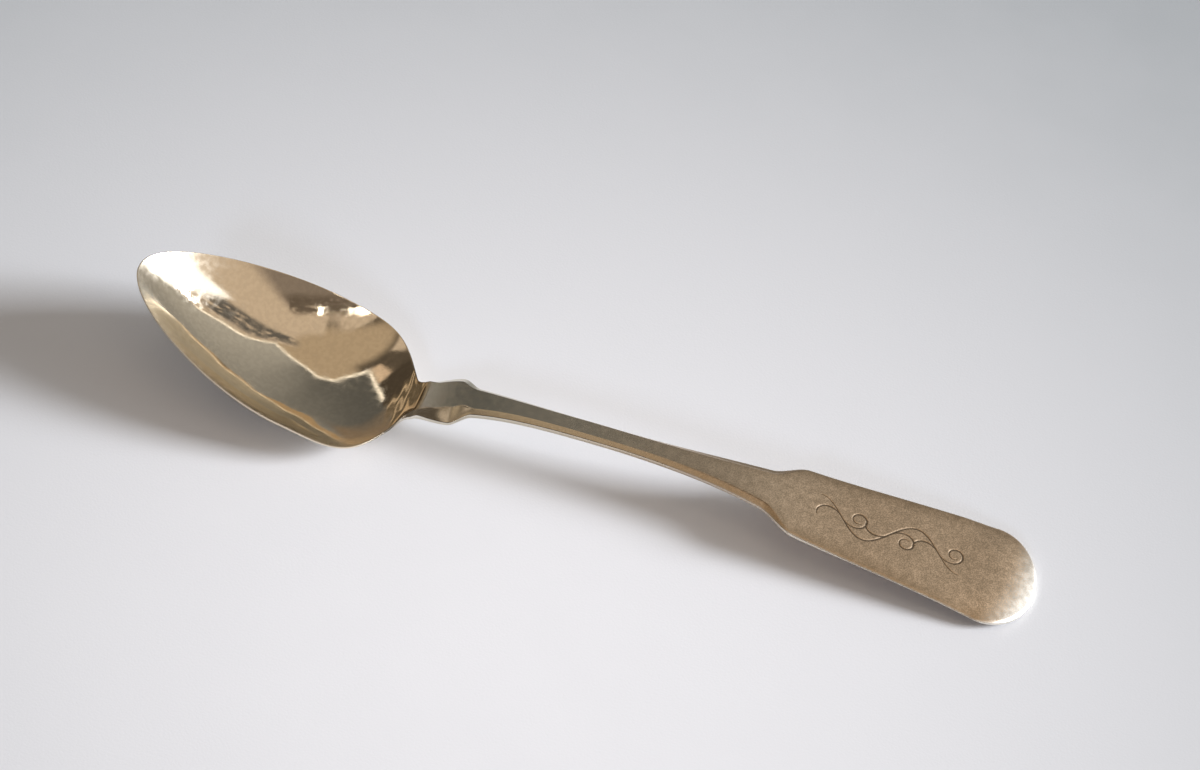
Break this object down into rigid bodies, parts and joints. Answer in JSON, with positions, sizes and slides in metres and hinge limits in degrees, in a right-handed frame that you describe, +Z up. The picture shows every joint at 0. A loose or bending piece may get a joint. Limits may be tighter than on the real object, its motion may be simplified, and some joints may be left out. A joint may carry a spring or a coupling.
{
  "type": "teaspoon",
  "caption": "Silver teaspoon of the fiddle pattern: a pointed oval bowl soldered to a forged handle with small shoulders, an arched stem and a flat rounded end, for stirring and eating.",
  "frame": {"origin": "middle of the spoon's length and width, on the table that it lies on", "axes": "+X from the tip of the bowl to the end of the handle, +Y across, +Z up out of the open bowl"},
  "size_m": [0.15, 0.03, 0.0175],
  "materials": {
    "bowl_silver": "polished coin silver, worn and warm with tarnish, with fine scratches",
    "handle_silver": "satin coin silver, dulled by use, with brighter worn edges",
    "hard_solder": "dull silver solder, filed flush"
  },
  "bodies": {
    "root": {"bowl": "bowl_silver", "handle": "handle_silver", "solder_joint": "hard_solder"}
  },
  "joints": []
}
